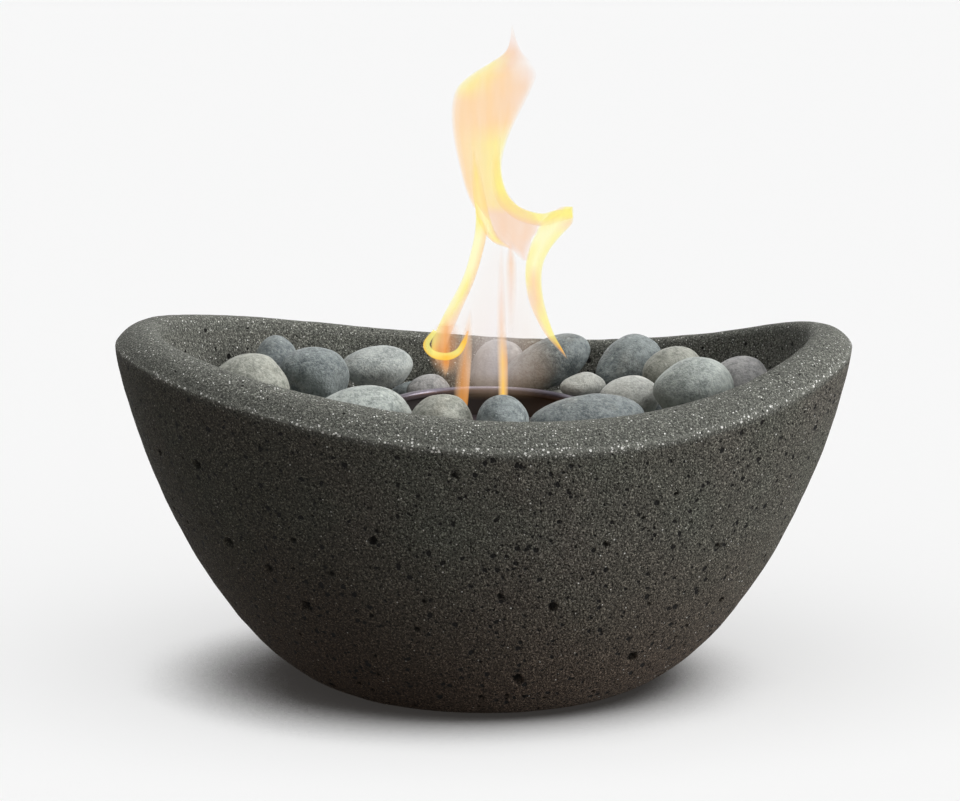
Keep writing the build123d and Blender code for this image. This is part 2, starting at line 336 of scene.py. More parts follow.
def mixed(material, share, first, second, blend="MIX"):
    """Two colours mixed by a share."""
    inputs = {"Fac": share, "Color1": first, "Color2": second}
    return add(material, "MixRGB", inputs, blend_type=blend).outputs["Color"]


def noise_of(material, place, scale, detail=2.0, roughness=0.5):
    """A cloudy noise value."""
    inputs = {"Vector": place, "Scale": scale, "Detail": detail, "Roughness": roughness}
    return add(material, "TexNoise", inputs).outputs["Fac"]


def dots_of(material, place, scale, radius, share):
    """Round dots strewn at random: one in some of the cells of a grid, of that radius in cells."""
    cells = add(material, "TexVoronoi", {"Vector": place, "Scale": scale})
    chance = add(material, "SeparateColor", {"Color": cells.outputs["Color"]})
    size = spread(material, chance.outputs["Green"], 0.0, 1.0, 0.35 * radius, radius)
    inside = math_of(material, "SUBTRACT", size, cells.outputs["Distance"])
    dots = spread(material, inside, -0.03, 0.05)
    chosen = math_of(material, "LESS_THAN", chance.outputs["Red"], share)
    return math_of(material, "MULTIPLY", dots, chosen)


def bumps(material, height, strength, depth):
    """The slopes of a surface that a height value raises."""
    inputs = {"Strength": strength, "Distance": depth, "Height": height}
    return add(material, "Bump", inputs).outputs["Normal"]


def surface(material, inputs):
    """Ends a material with a glossy and matt surface."""
    finish = add(material, "BsdfPrincipled", inputs)
    output = material.node_tree.nodes["Material Output"]
    material.node_tree.links.new(finish.outputs["BSDF"], output.inputs["Surface"])
    return material


def concrete_material():
    """Dark concrete with grain and sand, sandier where worn; painted shade blackens its pores and browns it
    low down.
    """
    material, place = new_material("porous_concrete")
    worn = add(material, "Attribute", attribute_name="wear").outputs["Fac"]
    pitted = add(material, "Attribute", attribute_name="pit").outputs["Fac"]
    grain = spread(material, noise_of(material, place, 1050.0, 2.0, 0.8), 0.34, 0.68)
    clouds = spread(material, noise_of(material, place, 26.0, 3.0), 0.32, 0.68)
    level = add(material, "SeparateXYZ", {"Vector": place}).outputs["Z"]
    body = mixed(material, grain, cement_dark, cement_light)
    body = mixed(material, math_of(material, "MULTIPLY", worn, 0.26), body, cement_worn)
    salt = spread(material, noise_of(material, place, 1350.0, 1.0), 0.585, 0.65, 0.0, 0.7)
    body = mixed(material, salt, body, salt_tone)
    tint = mixed(material, clouds, green_tint, brown_tint)
    # Painted shade and warm bounce from the table: the wall is darker and browner from 80 mm down to 15 mm
    tint = mixed(material, spread(material, level, 0.080, 0.015), tint, low_painted_shade_tint)
    tint = mixed(material, spread(material, worn, 0.0, 0.4), tint, lip_tint)
    body = mixed(material, 1.0, body, tint, "MULTIPLY")
    sand = dots_of(material, place, 950.0, 0.34, spread(material, worn, 0.2, 0.6, 0.03, 0.28))
    patches = spread(material, noise_of(material, place, 75.0, 2.0), 0.40, 0.60, 0.22, 0.80)
    edge_share = math_of(material, "MULTIPLY", spread(material, worn, 0.5, 1.0), patches)
    edge_sand = dots_of(material, place, 760.0, 0.45, edge_share)
    body = mixed(material, math_of(material, "MAXIMUM", sand, edge_sand), body, sand_tone)
    warp = add(material, "TexNoise", {"Vector": place, "Scale": 420.0}).outputs["Color"]
    bend = {0: warp, 1: (0.0022,) * 3, 2: place}
    bent = add(material, "VectorMath", bend, operation="MULTIPLY_ADD").outputs[0]
    smoothed = math_of(material, "MULTIPLY", worn, 1.6)
    thick = math_of(material, "SUBTRACT", spread(material, clouds, 0.0, 1.0, 0.4, 0.95), smoothed)
    pores = dots_of(material, bent, 240.0, 0.31, thick)
    fine_pores = dots_of(material, bent, 400.0, 0.27, spread(material, worn, 0.0, 0.4, 0.3, 0.08))
    # The pores and pits are painted near-black as the shade inside them
    holes = math_of(material, "MAXIMUM", math_of(material, "MAXIMUM", pores, fine_pores), pitted)
    body = mixed(material, holes, body, pore_shade_tone)
    height = math_of(material, "SUBTRACT", math_of(material, "MULTIPLY", grain, 0.5), holes)
    slopes = bumps(material, height, 0.9, 0.0008)
    finish = {"Base Color": body, "Roughness": 0.9, "Specular IOR Level": 0.2, "Normal": slopes}
    return surface(material, finish)


bowl.data.materials.append(concrete_material())

# Felt pads: four round discs punched from a sheet of pressed black felt. They are stuck under the base, so
# that the rough concrete doesn't scratch the table.
pad_low, pad_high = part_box("felt_pads")
pad_radius = 0.009
pad_ring = 0.044
pad_count = 4
pad_around = 48
pad_fluff = 0.012
pad_outline = [(0.4, 0), (0.8, 0), (0.97, 0), (1, 0.2), (1, 0.8), (0.97, 1), (0.8, 1), (0.4, 1)]
felt_dark = (0.012, 0.012, 0.013, 1)
felt_light = (0.05, 0.05, 0.052, 1)

pad_turns = np.linspace(0, 2 * math.pi, pad_around, endpoint=False)
felt_mesh = bpy.data.meshes.new("felt_discs")
felt_edit = bmesh.new()
for number in range(pad_count):
    direction = math.radians(45 + 360 / pad_count * number)
    loops = []
    for share, rise in pad_outline:
        loop = []
        for turn in pad_turns:
            spot = Vector((math.cos(turn) * 3, math.sin(turn) * 3, number + rise))
            reach = pad_radius * share * (1 + pad_fluff * noise.noise(spot))
            x = pad_ring * math.cos(direction) + reach * math.cos(turn)
            y = pad_ring * math.sin(direction) + reach * math.sin(turn)
            loop.append(felt_edit.verts.new((x, y, pad_low.z + (pad_high.z - pad_low.z) * rise)))
        loops.append(loop)
    for low_loop, high_loop in zip(loops, loops[1:]):
        for j in range(pad_around):
            k = (j + 1) % pad_around
            felt_edit.faces.new((low_loop[j], low_loop[k], high_loop[k], high_loop[j]))
    felt_edit.faces.new(loops[0][::-1])
    felt_edit.faces.new(loops[-1])
felt_edit.to_mesh(felt_mesh)
felt_edit.free()
felt = piece_of(felt_mesh, "bowl", "felt", "felt_pads")


def felt_material():
    """Black felt: matted short fibres."""
    material, place = new_material("pressed_felt")
    fibres = noise_of(material, place, 1600.0, 4.0, 0.7)
    colour = mixed(material, fibres, felt_dark, felt_light)
    slopes = bumps(material, fibres, 0.6, 0.0003)
    finish = {"Base Color": colour, "Roughness": 1.0, "Sheen Weight": 0.3, "Normal": slopes}
    return surface(material, finish)


felt.data.materials.append(felt_material())

# Fuel can: thin tinplate, rolled into a beaded tube and closed by a pressed end. Both ends of the tube are
# folded over into rolled seams. The upper one is the lip of the open mouth, heat-stained and sooty inside.
can_low, can_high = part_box("can_end")[0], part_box("can_rim")[1]
seam_radius = can_high.x
seam_height = can_high.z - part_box("can_rim")[0].z
seam_round = 0.0004
seam_slack = 0.0003
tube_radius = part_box("can_tube")[1].x
tube_low = can_low.z + seam_height
tube_high = can_high.z - seam_height
sheet = 0.0005
bead = 0.0004
bead_count = 8
bead_margin = 0.012
mouth_radius = tube_radius - sheet - 0.0014
panel_level = tube_low - 0.001
panel_step = 0.0008
panel_top = panel_level + 0.0006
turned_around = 160
tin_bright = (0.62, 0.60, 0.57, 1)
tin_grey = (0.47, 0.46, 0.45, 1)
tin_heated = (0.15, 0.135, 0.155, 1)
tin_stained = (0.075, 0.068, 0.085, 1)
soot_tone = (0.012, 0.010, 0.010, 1)


def turned(name, outline):
    """A piece turned about the can's axis from a closed outline of radius and height."""
    steps = np.linspace(0, 2 * math.pi, turned_around, endpoint=False)
    faces = []
    points = []
    for radius, z in outline:
        points += [(radius * math.cos(step), radius * math.sin(step), z) for step in steps]
    for i in range(len(outline)):
        low = i * turned_around
        high = (i + 1) % len(outline) * turned_around
        for j in range(turned_around):
            k = (j + 1) % turned_around
            faces.append((low + j, low + k, high + k, high + j))
    mesh = bpy.data.meshes.new(name)
    mesh.from_pydata(points, [], faces)
    mesh.shade_smooth()
    return mesh


def arc(middle, radius, start, end, count):
    """Points of an arc in the outline's plane, with angles in degrees."""
    angles = np.radians(np.linspace(start, end, count))
    return [(middle[0] + radius * math.cos(a), middle[1] + radius * math.sin(a)) for a in angles]


tube_outline = [(tube_radius, tube_low)]
for level in np.linspace(tube_low + bead_margin, tube_high - bead_margin, bead_count):
    tube_outline += arc((tube_radius - bead, level), bead * 1.2, -60, 60, 5)
tube_outline += [(tube_radius, tube_high), (tube_radius - sheet, tube_high)]
tube_outline += [(tube_radius - sheet, level) for level in np.linspace(tube_high, tube_low, 12)[1:]]
can_tube = piece_of(turned("can_tube_rolled", tube_outline), "fuel_can", "tinplate", "can_tube")

roll = (seam_radius - mouth_radius) / 2
roll_middle = (seam_radius + mouth_radius) / 2
rim_outline = [(seam_radius - seam_slack, tube_high), (seam_radius, tube_high + seam_round)]
rim_outline += arc((roll_middle, can_high.z - roll), roll, 0, 180, 13)
rim_outline += [(mouth_radius, tube_high + seam_round), (mouth_radius + seam_slack, tube_high)]
can_rim = piece_of(turned("can_rim_rolled", rim_outline), "fuel_can", "tinplate", "can_rim")

end_outline = [(mouth_radius * share, panel_level) for share in (0.0, 0.5, 0.86)]
end_outline += [(mouth_radius * 0.9, panel_level - panel_step)]
end_outline += [(mouth_radius - seam_slack, panel_level - panel_step)]
end_outline += [(mouth_radius, can_low.z + seam_round), (mouth_radius + seam_round, can_low.z)]
end_outline += [(seam_radius - seam_round, can_low.z), (seam_radius, can_low.z + seam_round)]
end_outline += [(seam_radius, tube_low - seam_round), (seam_radius - seam_round, tube_low)]
end_outline += [(mouth_radius, tube_low), (mouth_radius - seam_round, panel_top), (0.0, panel_top)]
can_end = piece_of(turned("can_end_pressed", end_outline), "fuel_can", "tinplate", "can_end")


def tinplate_material():
    """Tinplate, bright low down, dulled and stained by heat below its mouth, and sooty inside."""
    material, place = new_material("heat_stained_tinplate")
    stains = noise_of(material, place, 60.0, 4.0, 0.6)
    streaks = noise_of(material, place, 900.0, 2.0, 0.6)
    stained = spread(material, stains, 0.35, 0.7)
    dulled = mixed(material, stained, tin_heated, tin_stained)
    bright = mixed(material, stained, tin_bright, tin_grey)
    flat = add(material, "VectorMath", {0: place, 1: (1.0, 1.0, 0.0)}, operation="MULTIPLY").outputs[0]
    radius = add(material, "VectorMath", {0: flat}, operation="LENGTH").outputs["Value"]
    level = add(material, "SeparateXYZ", {"Vector": place}).outputs["Z"]
    heated = spread(material, level, tube_high - 0.030, tube_high - 0.002)
    colour = mixed(material, heated, bright, dulled)
    inside = spread(material, radius, tube_radius, tube_radius - sheet, 0.0, 0.97)
    soot = math_of(material, "MULTIPLY", inside, spread(material, level, can_high.z - 0.0012, tube_high))
    colour = mixed(material, soot, colour, soot_tone)
    rough = spread(material, math_of(material, "ADD", stains, streaks), 0.7, 1.3, 0.34, 0.52)
    rough = math_of(material, "MAXIMUM", rough, soot)
    slopes = bumps(material, streaks, 0.15, 0.0002)
    metal = spread(material, soot, 0.0, 1.0, 1.0, 0.0)
    finish = {"Base Color": colour, "Metallic": metal, "Roughness": rough, "Normal": slopes}
    return surface(material, finish)


tinplate = tinplate_material()
for piece in (can_tube, can_rim, can_end):
    piece.data.materials.append(tinplate)

# Fuel gel: a soft clear gel of alcohol, poured into the can to below its rim. It clings to the wall, so its
# top dips away from there in a meniscus, and small bubbles are caught in it.
gel_low, gel_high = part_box("fuel_gel")
gel_radius = gel_high.x
gel_seat = tube_low + 0.0006
meniscus_dip = 0.0011
meniscus_rate = 25
meniscus_shares = (0.99, 0.975, 0.95, 0.9, 0.75, 0.5, 0.25, 0.0)
gel_skin = 0.0015
gel_ripple = 0.0004
# The gel's dark colours are painted shade of the deep can it sits in
gel_shade_dark = (0.030, 0.024, 0.028, 1)
gel_shade_light = (0.060, 0.048, 0.052, 1)
bubble_tone = (0.14, 0.12, 0.13, 1)

gel_outline = [(0.0, gel_low.z), (mouth_radius * 0.97, gel_low.z), (mouth_radius * 0.98, gel_seat - 0.0002)]
gel_outline += [(gel_radius, gel_seat), (gel_radius, gel_high.z)]
for share in meniscus_shares:
    dip = meniscus_dip * (1 - math.exp((share - 1) * meniscus_rate))
    gel_outline.append((gel_radius * share, gel_high.z - dip))
gel = piece_of(turned("fuel_gel_fill", gel_outline), "fuel_can", "gel", "fuel_gel")
for vert in gel.data.vertices:
    if vert.co.z > gel_high.z - gel_skin:
        vert.co.z -= gel_ripple * (1 + noise.noise(vert.co * 90))


def gel_material():
    """Clear gel painted dark as the shade inside the deep can, with small bubbles in it."""
    material, place = new_material("fuel_gel_clear")
    bubbles = dots_of(material, place, 300.0, 0.3, 0.3)
    clouds = noise_of(material, place, 70.0, 3.0)
    colour = mixed(material, clouds, gel_shade_dark, gel_shade_light)
    colour = mixed(material, bubbles, colour, bubble_tone)
    slopes = bumps(material, bubbles, 0.3, 0.0004)
    return surface(material, {"Base Color": colour, "Roughness": 0.4, "IOR": 1.37, "Normal": slopes})


gel.data.materials.append(gel_material())

# River stones: pebbles of grey, green and blue rock, worn smooth in running water and laid loose on the bed
# round the can. Each is an egg with a few flats, matt and faintly mottled. A look is dark, light and fleck.
stone_looks = {
    "blue_grey_stone": ((0.034, 0.046, 0.053, 1), (0.125, 0.145, 0.152, 1), (0.36, 0.39, 0.37, 1)),
    "dark_teal_stone": ((0.036, 0.047, 0.053, 1), (0.130, 0.152, 0.158, 1), (0.40, 0.44, 0.42, 1)),
    "green_grey_stone": ((0.120, 0.140, 0.138, 1), (0.310, 0.337, 0.326, 1), (0.54, 0.56, 0.53, 1)),
    "light_green_stone": ((0.105, 0.126, 0.117, 1), (0.300, 0.328, 0.310, 1), (0.56, 0.59, 0.55, 1)),
    "olive_stone": ((0.085, 0.092, 0.074, 1), (0.270, 0.277, 0.240, 1), (0.50, 0.50, 0.44, 1)),
    "light_grey_stone": ((0.210, 0.216, 0.200, 1), (0.450, 0.460, 0.425, 1), (0.62, 0.62, 0.58, 1)),
    "mauve_grey_stone": ((0.095, 0.097, 0.100, 1), (0.260, 0.258, 0.257, 1), (0.46, 0.45, 0.43, 1)),
}
rust_tone = (0.30, 0.25, 0.18, 1)
stone_facets = 5
stone_flats = 7
flat_range = (0.93, 0.99)
flat_slope = 0.3
stone_soft = 0.0012
stone_fit = 0.99
stone_dent = 0.022


def between(first, second, share):
    """A colour on the way from one colour to another."""
    return tuple(a + (b - a) * share for a, b in zip(first, second))


def river_stone_material(name, dark, light, fleck):
    """One kind of stone: mottled in two sizes, with pale zones, dark spots, stains, grain and flecks."""
    material, place = new_material(name)
    clouds = spread(material, noise_of(material, place, 110.0, 5.0, 0.75), 0.38, 0.62)
    mottle = spread(material, noise_of(material, place, 420.0, 3.0, 0.7), 0.42, 0.60)
    grain = spread(material, noise_of(material, place, 1100.0, 2.0, 0.7), 0.34, 0.66)
    stains = spread(material, noise_of(material, place, 48.0, 3.0, 0.6), 0.56, 0.72, 0.0, 0.22)
    zones = spread(material, noise_of(material, place, 44.0, 2.0), 0.48, 0.58, 0.0, 0.45)
    spots = spread(material, noise_of(material, place, 280.0, 3.0, 0.7), 0.52, 0.63, 0.0, 0.65)
    flecks = dots_of(material, place, 420.0, 0.34, 0.22)
    colour = mixed(material, clouds, dark, light)
    colour = mixed(material, zones, colour, between(light, fleck, 0.35))
    mottled = math_of(material, "MULTIPLY", mottle, 0.6)
    colour = mixed(material, mottled, colour, between(light, fleck, 0.45))
    colour = mixed(material, spots, colour, dark)
    colour = mixed(material, stains, colour, rust_tone)
    colour = mixed(material, math_of(material, "MULTIPLY", grain, 0.24), colour, fleck)
    colour = mixed(material, math_of(material, "MULTIPLY", flecks, 0.5), colour, fleck)
    rough = spread(material, clouds, 0.0, 1.0, 0.5, 0.68)
    slopes = bumps(material, math_of(material, "ADD", mottle, grain), 0.3, 0.0005)
    finish = {"Base Color": colour, "Roughness": rough, "Specular IOR Level": 0.35, "Normal": slopes}
    return surface(material, finish)


def pebble(node):
    """A worn pebble cut from a stone's solid: a smooth egg with a few flats and shallow hollows."""
    solid = frame["nodes"][node].data
    corners = [vert.co for vert in solid.vertices]
    middle = sum(corners, Vector()) / len(corners)
    skin = BVHTree.FromPolygons(corners, [face.vertices for face in solid.polygons])
    outline = np.array([tuple(corner - middle) for corner in corners])
    choice = np.random.default_rng(int(node[-2:]) + (50 if node.startswith("upper") else 0))
    ways = choice.normal(size=(stone_flats, 3))
    ways /= np.linalg.norm(ways, axis=1, keepdims=True)
    flats = [(Vector(way), (outline @ way).max() * choice.uniform(*flat_range)) for way in ways]
    edit = bmesh.new()
    bmesh.ops.create_icosphere(edit, subdivisions=stone_facets, radius=1.0)
    grit = Vector(choice.uniform(-50, 50, 3))
    for vert in edit.verts:
        direction = vert.co.normalized()
        reach = skin.ray_cast(middle, direction)[3]
        for way, distance in flats:
            slope = direction.dot(way)
            if slope > flat_slope:
                limit = distance / slope
                reach = (reach + limit - math.sqrt((reach - limit) ** 2 + stone_soft**2)) / 2
        dent = noise.noise(direction * 1.4 + grit) + 0.4 * noise.noise(direction * 3.2 + grit)
        vert.co = middle + direction * reach * (stone_fit + stone_dent * dent)
    mesh = bpy.data.meshes.new(node + "_pebble")
    edit.to_mesh(mesh)
    edit.free()
    mesh.shade_smooth()
    return mesh


stone_materials = {}
for entry in frame["record"]["subparts"]:
    look = entry["material_slot"]
    if look in stone_looks:
        if look not in stone_materials:
            stone_materials[look] = river_stone_material(look, *stone_looks[look])
        stone = piece_of(pebble(entry["node"]), "bowl", look, entry["node"])
        stone.data.materials.append(stone_materials[look])

# Flame: burning vapour over the gel, with no lasting form. It is drawn as thin tongues of light that wind
# up out of the can's mouth: pale peach where it is thin, yellow along its bright edges, orange at its foot.
flame_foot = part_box("fuel_gel")[1].z + 0.0003
tongue_depth = 0.5
veil_depth = 0.14
least_half = 0.0002
edge_fade = 9
flame_steps = 12
flame_around = 24
streak_scale = (260.0, 260.0, 34.0)

# Tones by letter, as red, green, blue and cover: peach, amber, yellow, bright yellow, pink, haze, white,
# veil, orange, rust, copper and nothing
flame_tones = {
    "p": (1.02, 0.625, 0.254, 0.50),
    "m": (1.01, 0.770, 0.260, 0.55),
    "y": (1.00, 0.900, 0.250, 0.62),
    "b": (1.01, 0.979, 0.560, 0.72),
    "k": (0.96, 0.600, 0.360, 0.44),
    "h": (0.93, 0.600, 0.450, 0.20),
    "w": (0.93, 0.850, 0.820, 0.15),
    "v": (0.90, 0.800, 0.790, 0.25),
    "o": (1.00, 0.420, 0.100, 0.42),
    "r": (0.85, 0.280, 0.040, 0.34),
    "c": (1.03, 0.600, 0.080, 0.85),
    "n": (0.96, 0.650, 0.400, 0.00),
}

# Tongues in millimetres, from the top down: place to the right and to the back, height over the foot and
# half-width, with the tones of the left side, the middle and the right side
flame_tongues = {
    "flame_body": [
        (11.4, 0, 168.0, 0.2, "nnn"), (11.8, 0, 162.0, 1.3, "hhh"), (12.0, 0, 157.0, 3.5, "kkh"),
        (10.9, 0, 152.5, 8.6, "ykn"), (8.1, 0, 148.0, 13.2, "yph"), (4.6, 0, 143.0, 15.2, "ypk"),
        (2.1, 0, 137.0, 14.9, "ppk"), (-0.1, 0, 129.0, 13.0, "ppp"), (-1.4, 0, 120.0, 10.6, "pmy"),
        (-1.3, 0, 111.0, 8.7, "pmy"), (0.6, 0, 102.0, 8.3, "pmy"), (4.3, 0, 95.0, 9.2, "pmk"),
        (8.9, 0, 91.5, 11.2, "kkk"), (11.7, 0, 88.0, 11.0, "kkk"), (12.3, 0, 84.0, 9.7, "kkk"),
        (12.3, 0, 81.0, 7.7, "kkk"), (14.7, 0, 77.0, 4.4, "hkh"), (17.0, 0, 72.0, 1.4, "nhn"),
    ],
    "flame_hook": [
        (6.6, 0, 122.0, 0.4, "nnn"), (4.8, 0, 112.0, 1.9, "npy"), (5.6, 0, 103.0, 2.4, "nyy"),
        (8.4, 0, 96.4, 2.6, "kyy"), (14.6, 0, 91.0, 2.7, "kyy"), (23.6, 0, 88.7, 2.7, "kyy"),
        (29.9, 0, 90.2, 2.6, "kyy"), (36.0, 0, 91.4, 2.0, "yyy"),
    ],
    "flame_right_arm": [
        (33.6, 1, 93.8, 2.8, "nyy"), (31.6, 1, 90.6, 5.0, "pyy"), (29.6, 1, 87.0, 6.6, "ybp"),
        (26.9, 1, 83.0, 5.7, "bby"), (24.9, 2, 80.0, 5.2, "bby"), (22.7, 2, 76.0, 4.4, "yby"),
        (20.8, 3, 70.0, 3.7, "yby"), (20.4, 3, 63.0, 3.4, "ypy"), (21.5, 4, 55.0, 3.2, "kpy"),
        (24.1, 5, 47.0, 2.6, "kyy"), (27.4, 5, 40.0, 1.9, "kyy"), (31.5, 6, 34.0, 1.0, "noc"),
        (34.4, 6, 29.8, 0.3, "nnn"),
    ],
    "flame_left_arm": [
        (-1.2, -1, 99.0, 1.0, "nnn"), (-1.2, -1, 94.0, 2.2, "yyp"), (-0.9, -2, 88.0, 2.5, "yyp"),
        (-1.6, -2, 81.0, 2.6, "bbp"), (-4.4, -3, 70.0, 2.6, "bbp"), (-7.3, -3, 62.0, 2.8, "byk"),
        (-11.3, -4, 54.0, 3.2, "byk"), (-15.1, -5, 46.0, 3.5, "ypk"), (-17.8, -6, 39.6, 3.5, "ypk"),
        (-18.4, -6, 34.6, 2.6, "coo"), (-18.2, -6, 30.0, 0.6, "nnn"),
    ],
    "flame_streak": [
        (-4.6, -2, 119.0, 0.4, "nnn"), (-3.2, -2, 108.0, 1.9, "nyn"), (-1.6, -2, 97.0, 2.5, "ybp"),
        (0.6, -2, 88.0, 2.5, "pby"), (4.4, -2, 81.4, 1.7, "pyk"), (10.7, -2, 77.4, 0.5, "nkn"),
    ],
    "flame_curl": [
        (-19.9, -7, 44.0, 0.9, "yyy"), (-23.4, -8, 38.6, 1.4, "cyy"), (-20.8, -9, 34.8, 1.6, "cyy"),
        (-15.2, -10, 33.8, 1.6, "ccy"), (-10.6, -9, 35.4, 1.4, "cyy"), (-8.0, -8, 39.4, 1.1, "ccc"),
        (-6.4, -7, 44.0, 0.5, "non"),
    ],
    "flame_curl_glow": [
        (-15.0, -5, 46.0, 5.0, "nrn"), (-15.4, -5, 39.0, 7.6, "nrn"), (-15.4, -5, 31.0, 7.2, "nrn"),
        (-14.6, -5, 25.0, 4.0, "nnn"),
    ],
    "flame_middle_strand": [
        (7.2, -1, 80.0, 0.6, "nnn"), (7.2, -1, 60.0, 2.0, "nhn"), (7.3, -1, 43.0, 2.2, "nkn"),
        (7.7, -1, 30.0, 2.3, "nco"), (8.0, -1, 15.0, 2.2, "ncn"), (8.2, -1, 0.6, 1.8, "ncn"),
    ],
    "flame_tail": [
        (10.8, 0, 79.0, 0.8, "nhn"), (11.2, 0, 70.0, 2.4, "nkn"), (11.2, 0, 57.0, 2.4, "nhn"),
        (11.0, 0, 42.0, 1.2, "nnn"),
    ],
    "flame_left_strand": [
        (-5.4, -1, 52.0, 0.6, "nnn"), (-6.8, -1, 40.0, 2.4, "nkn"), (-8.4, -1, 27.0, 3.2, "nok"),
        (-9.6, -1, 13.0, 3.2, "noo"), (-10.2, -1, 0.6, 2.2, "ncn"),
    ],
    "flame_short_strand": [
        (-15.4, -4, 50.0, 0.6, "nnn"), (-15.8, -4, 42.0, 2.2, "non"), (-16.0, -4, 30.0, 2.0, "noo"),
        (-16.0, -4, 24.0, 0.4, "nnn"),
    ],
    "flame_veil": [
        (6.0, 1, 84.0, 4.0, "nnn"), (6.6, 1, 62.0, 13.0, "nwn"), (5.0, 1, 44.0, 22.0, "nvn"),
        (4.5, 1, 34.0, 27.0, "nvn"), (4.5, 1, 25.0, 27.0, "nvn"), (3.0, 1, 14.0, 22.0, "nnn"),
    ],
}
flame_sideways = ("flame_hook", "flame_streak", "flame_curl")


def smooth_rows(rows, steps):
    """Rows of numbers with a smooth curve drawn through them."""
    rows = np.array(rows, float)
    padded = np.vstack([2 * rows[0] - rows[1], rows, 2 * rows[-1] - rows[-2]])
    found = []
    for i in range(len(rows) - 1):
        a, b, c, d = padded[i:i + 4]
        for t in np.arange(steps) / steps:
            bend = 2 * a - 5 * b + 4 * c - d
            twist = 3 * b - a - 3 * c + d
            found.append(0.5 * (2 * b + (c - a) * t + bend * t**2 + twist * t**3))
    return np.array([*found, rows[-1]])


def tongue(name, rows):
    """One tongue of flame: a lens-shaped ribbon along its middle line, coloured across and along."""
    depth = veil_depth if name == "flame_veil" else tongue_depth
    line = smooth_rows([row[:4] for row in rows], flame_steps) / 1000
    line[:, 2] += flame_foot
    ways = np.gradient(line[:, :3], axis=0)
    tones = np.array([[flame_tones[key] for key in keys] for *_, keys in rows])
    backward = np.array((0, 1.0, 0))
    points = []
    colours = []
    for number, ((x, y, z, half), way) in enumerate(zip(line, ways)):
        across = np.cross(way, backward) if name in flame_sideways else np.array((1.0, 0, 0))
        across = across / np.linalg.norm(across)
        mark = number / flame_steps
        row = min(int(mark), len(rows) - 2)
        left, middle, right = tones[row] + (tones[row + 1] - tones[row]) * (mark - row)
        for step in range(flame_around):
            angle = 2 * math.pi * step / flame_around
            side = math.cos(angle)
            offset = side * across + depth * math.sin(angle) * backward
            points.append(np.array((x, y, z)) + max(half, least_half) * offset)
            edge_tone = right if side > 0 else left
            tone = middle + (edge_tone - middle) * abs(side)
            colours.append((*tone[:3], tone[3] * (1 - abs(side) ** edge_fade)))
    mesh = mesh_of_rings(name, np.array(points).reshape(len(line), flame_around, 3))
    values = np.array([(*colours[0][:3], 0), *colours, (*colours[-1][:3], 0)], np.float32)
    mesh.color_attributes.new("tone", "FLOAT_COLOR", "POINT").data.foreach_set("color", values.ravel())
    return mesh


def flame_material():
    """Glowing vapour: it gives off its colour and covers what is behind it by its density, in streaks."""
    material, place = new_material("burning_vapour")
    tone = add(material, "Attribute", attribute_name="tone")
    drawn = add(material, "VectorMath", {0: place, 1: streak_scale}, operation="MULTIPLY").outputs[0]
    streaks = spread(material, noise_of(material, drawn, 1.0, 2.0), 0.3, 0.7, 0.75, 1.1)
    cover = math_of(material, "MULTIPLY", tone.outputs["Alpha"], streaks)
    light = add(material, "Emission", {"Color": tone.outputs["Color"], "Strength": 1.0}).outputs[0]
    clear = add(material, "BsdfTransparent").outputs[0]
    shown = add(material, "MixShader", {0: cover, 1: clear, 2: light}).outputs[0]
    material.node_tree.links.new(shown, material.node_tree.nodes["Material Output"].inputs["Surface"])
    return material


vapour = flame_material()
for name, rows in flame_tongues.items():
    flame = piece_of(tongue(name, rows), "fuel_can", "flame", "flame")
    flame.data.materials.append(vapour)

# Camera: a long lens in front of the bowl, looking down on it at a low angle. It is aimed at the stones, so
# that the bowl and the tall flame over it both fit in the picture.
view_distance = 1.3636
view_height = 0.0697
view_elevation = math.radians(13)
tilt_up = math.radians(1.925)
turn_left = math.radians(0.0663)
focal_pixels = 3285
image_pixels = 960
view_back = view_distance * math.cos(view_elevation)
view_top = view_height + view_distance * math.sin(view_elevation)
camera = bpy.data.objects.new("camera", bpy.data.cameras.new("camera"))
bpy.context.scene.collection.objects.link(camera)
camera.location = (0, -view_back, view_top)
camera.rotation_euler = (math.pi / 2 - view_elevation + tilt_up, 0, turn_left)
camera.data.lens = focal_pixels * camera.data.sensor_width / image_pixels
bpy.context.scene.camera = camera

# Studio: a pale matt table that runs on out of sight, shaded where the bowl stands close over it. Wide soft
# lamps overhead and on the right light the object, with weak ones in front and behind. Another throws its
# shadow on the table, one more only fills the table, and a small warm glow over the gel lights the can.
pale = (0.93, 0.93, 0.93, 1)
ambient = (0.10, 0.10, 0.10, 1)
table_shade = (0.11, 0.085, 0.065, 1)
contact_shade = (0.06, 0.056, 0.053, 1)
contact_reach = 0.075
contact_range = (0.25, 0.72)
contact_lean = {"X": 0.28, "Y": 0.0, "Z": 0.96}
table_reach = 12.0
glow_place = (0.022, 0.004, flame_foot + 0.005)

table_mesh = bpy.data.meshes.new("table")
corners = [(-table_reach, -table_reach, 0), (table_reach, -table_reach, 0)]
corners += [(table_reach, table_reach, 0), (-table_reach, table_reach, 0)]
table_mesh.from_pydata(corners, [], [(0, 1, 2, 3)])
table = bpy.data.objects.new("table", table_mesh)
bpy.context.scene.collection.objects.link(table)
table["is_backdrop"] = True


def seen_rays(owner):
    """One for a ray that shows the surface or its mirror image, nothing for one that only carries light."""
    path = add(owner, "LightPath")
    first = math_of(owner, "MAXIMUM", path.outputs["Is Camera Ray"], path.outputs["Is Glossy Ray"])
    return math_of(owner, "MAXIMUM", first, path.outputs["Is Transmission Ray"])


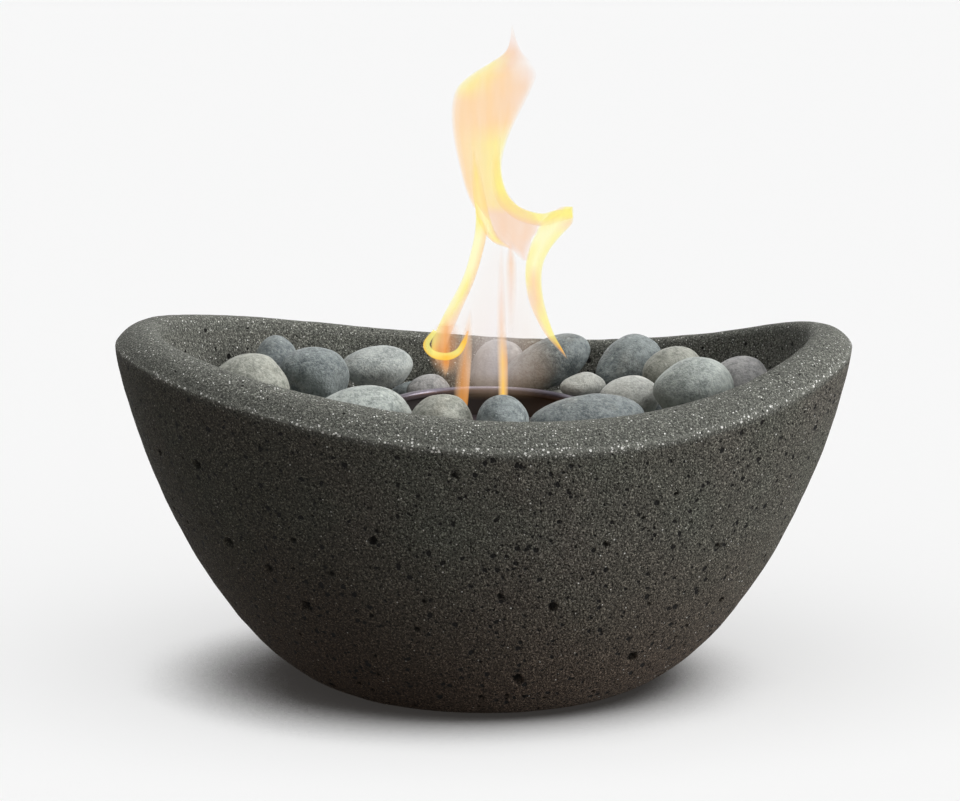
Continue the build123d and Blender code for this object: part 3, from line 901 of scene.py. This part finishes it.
table_top, _ = new_material("pale_table")
lean = add(table_top, "CombineXYZ", contact_lean).outputs["Vector"]
contact = {"Distance": contact_reach, "Normal": lean}
near_base = add(table_top, "AmbientOcclusion", contact, samples=16).outputs["AO"]
opening = {"Value": near_base, "From Min": contact_range[0], "From Max": contact_range[1]}
openness = add(table_top, "MapRange", opening, interpolation_type="SMOOTHSTEP").outputs["Result"]
seen_colour = mixed(table_top, openness, contact_shade, pale)
table_colour = mixed(table_top, seen_rays(table_top), table_shade, seen_colour)
surface(table_top, {"Base Color": table_colour, "Roughness": 1.0, "Specular IOR Level": 0.0})
table_mesh.materials.append(table_top)

world = bpy.data.worlds.new("studio")
bpy.context.scene.world = world
world.use_nodes = True
world.node_tree.nodes.clear()
sky_colour = mixed(world, seen_rays(world), ambient, pale)
sky = add(world, "Background", {"Color": sky_colour, "Strength": 1.0})
sky_output = world.node_tree.nodes.new("ShaderNodeOutputWorld")
world.node_tree.links.new(sky.outputs[0], sky_output.inputs["Surface"])


def lit_group(name, pieces):
    """A group of objects that some lamps light alone."""
    group = bpy.data.collections.new(name)
    for piece in pieces:
        group.objects.link(piece)
    return group


def lamp(name, strength, width, elevation, azimuth, lit, shadow=True):
    """A far lamp on a group, with its height over the table and its turn from the right to the front."""
    light = bpy.data.lights.new(name, "SUN")
    light.energy = strength * math.pi
    light.angle = math.radians(width)
    light.use_shadow = shadow
    holder = bpy.data.objects.new(name, light)
    bpy.context.scene.collection.objects.link(holder)
    up, side = math.radians(elevation), math.radians(azimuth)
    towards = Vector((math.cos(side) * math.cos(up), -math.sin(side) * math.cos(up), math.sin(up)))
    holder.rotation_euler = towards.to_track_quat("Z", "Y").to_euler()
    holder.light_linking.receiver_collection = lit


lit_pieces = lit_group("lit_pieces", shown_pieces())
lit_table = lit_group("lit_table", [table])
lit_can = lit_group("lit_can", [can_tube, can_rim, gel])
lamp("overhead", 0.86, 55, 78, 30, lit_pieces)
lamp("right_side", 1.08, 40, 14, 12, lit_pieces)
lamp("front_fill", 0.09, 50, 18, 70, lit_pieces)
lamp("back_fill", 0.24, 60, 22, 255, lit_pieces)
lamp("table_soft", 0.40, 110, 62, 84, lit_table)
lamp("table_fill", 1.31, 22, 25, 88, lit_table, shadow=False)

glow = bpy.data.lights.new("gel_glow", "POINT")
glow.energy = 0.02
glow.color = (1.0, 0.45, 0.12)
glow.shadow_soft_size = 0.016
glow_holder = bpy.data.objects.new("gel_glow", glow)
bpy.context.scene.collection.objects.link(glow_holder)
glow_holder.location = glow_place
glow_holder.light_linking.receiver_collection = lit_can

bpy.context.scene.view_settings.view_transform = "Standard"
